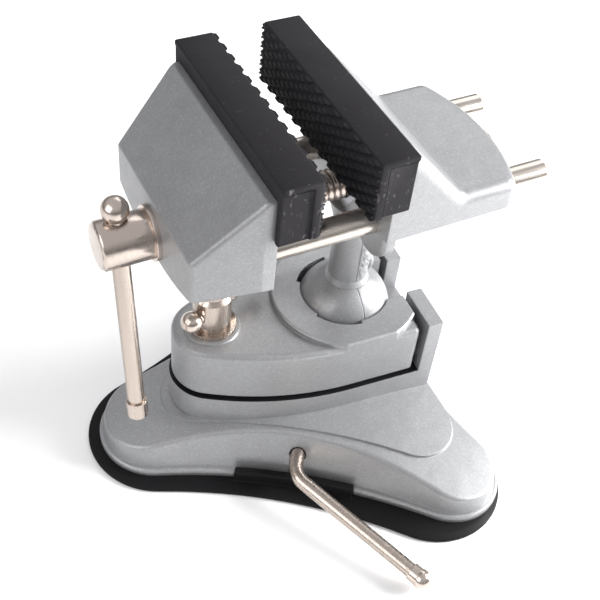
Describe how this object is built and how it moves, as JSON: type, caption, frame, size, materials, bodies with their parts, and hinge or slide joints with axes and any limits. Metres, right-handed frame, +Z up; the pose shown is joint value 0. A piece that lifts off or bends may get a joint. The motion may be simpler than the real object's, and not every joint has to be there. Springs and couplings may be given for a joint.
{
  "type": "suction base vise",
  "caption": "Bench vise with rubber-capped jaws on a ball joint, held by a clamp plate on a lobed suction base with a lever.",
  "frame": {"origin": "on the bench face of the suction pad, straight under the centre of the ball joint", "axes": "+X from the moving jaw to the fixed jaw, along the screw; +Y across the jaws, away from the lever side; +Z up from the bench"},
  "size_m": [0.1432, 0.1603, 0.1372],
  "materials": {
    "painted_casting": "silver-grey metallic paint on die-cast alloy, satin",
    "cap_rubber": "moulded charcoal rubber, matt, diamond knurl",
    "pad_rubber": "soft black rubber, slight sheen",
    "plated_turned": "nickel plate over turned steel",
    "plated_rod": "nickel plate over drawn steel",
    "plated_ball": "silver-grey metallic paint over cast steel",
    "zinc_steel": "zinc plate, dull",
    "spring_steel": "dark spring steel"
  },
  "bodies": {
    "base": {"base_casting": "painted_casting", "suction_pad": "pad_rubber"},
    "lever": {"suction_lever": "plated_rod", "lever_end_cap": "plated_turned", "lift_cam": "zinc_steel", "cam_pin": "zinc_steel", "shaft_clip": "spring_steel"},
    "lifter": {"lift_plate": "zinc_steel", "lift_yoke": "zinc_steel", "yoke_rivets": "zinc_steel"},
    "plate": {"clamp_plate": "painted_casting"},
    "washer": {"clamp_washer": "plated_turned"},
    "clamp": {"clamp_screw": "plated_turned"},
    "clamp_handle": {"clamp_bar": "plated_rod", "clamp_bar_knobs": "plated_turned"},
    "ball": {"swivel_ball": "plated_ball"},
    "head": {"fixed_jaw": "painted_casting", "lead_nut": "zinc_steel", "fixed_jaw_cap": "cap_rubber"},
    "carriage": {"moving_jaw": "painted_casting", "moving_jaw_cap": "cap_rubber", "guide_rod_near": "plated_rod", "guide_rod_far": "plated_rod", "rod_pins": "zinc_steel"},
    "screw": {"lead_screw": "plated_turned", "thrust_washer": "plated_turned", "retaining_ring": "spring_steel"},
    "handle": {"main_bar": "plated_rod", "main_bar_knob": "plated_turned", "main_bar_collar": "plated_turned"}
  },
  "joints": [
    {"name": "head_tilt", "type": "hinge", "parent": "base", "child": "ball", "pos_m": [0, 0, 0.045], "axis": [0.0732, 0.9973, 0], "range_deg": [-10, 90]},
    {"name": "head_swivel", "type": "hinge", "parent": "ball", "child": "head", "pos_m": [0, 0, 0.059], "axis": [0, 0, 1], "continuous": true},
    {"name": "jaw_slide", "type": "slide", "parent": "head", "child": "carriage", "axis": [1, 0, 0], "range_m": [-0.038, 0.0139]},
    {"name": "screw_turn", "type": "hinge", "parent": "carriage", "child": "screw", "pos_m": [-0.0673, 0, 0.101], "axis": [1, 0, 0], "range_deg": [-6860, 2520]},
    {"name": "main_bar_slide", "type": "slide", "parent": "screw", "child": "handle", "axis": [0, 0.1478, 0.989], "range_m": [0, 0.052]},
    {"name": "lever_turn", "type": "hinge", "parent": "base", "child": "lever", "pos_m": [-0.00798, 0.00059, 0.0117], "axis": [-0.5621, -0.8271, 0], "range_deg": [0, 180]},
    {"name": "pad_lift", "type": "slide", "parent": "base", "child": "lifter", "axis": [0, 0, 1], "range_m": [0, 0.0027]},
    {"name": "plate_tilt", "type": "hinge", "parent": "base", "child": "plate", "pos_m": [0.02094, -0.00154, 0.045], "axis": [0.0732, 0.9973, 0], "range_deg": [0, 2]},
    {"name": "clamp_lift", "type": "slide", "parent": "base", "child": "washer", "axis": [0, 0, 1], "range_m": [0, 0.0028]},
    {"name": "clamp_turn", "type": "hinge", "parent": "washer", "child": "clamp", "pos_m": [-0.04667, 0.00343, 0.0507], "axis": [0, 0, 1], "range_deg": [0, 780]},
    {"name": "clamp_bar_slide", "type": "slide", "parent": "clamp", "child": "clamp_handle", "axis": [-0.9252, -0.3795, 0], "range_m": [0, 0.0117]}
  ],
  "couplings": [
    {"joint": "screw_turn", "follows": "jaw_slide", "rad_per_m": 3141.6},
    {"joint": "pad_lift", "follows": "lever_turn", "m_per_rad": 0.00082761},
    {"joint": "clamp_lift", "follows": "plate_tilt", "m_per_rad": 0.0768},
    {"joint": "clamp_turn", "follows": "plate_tilt", "ratio": 386.04}
  ]
}
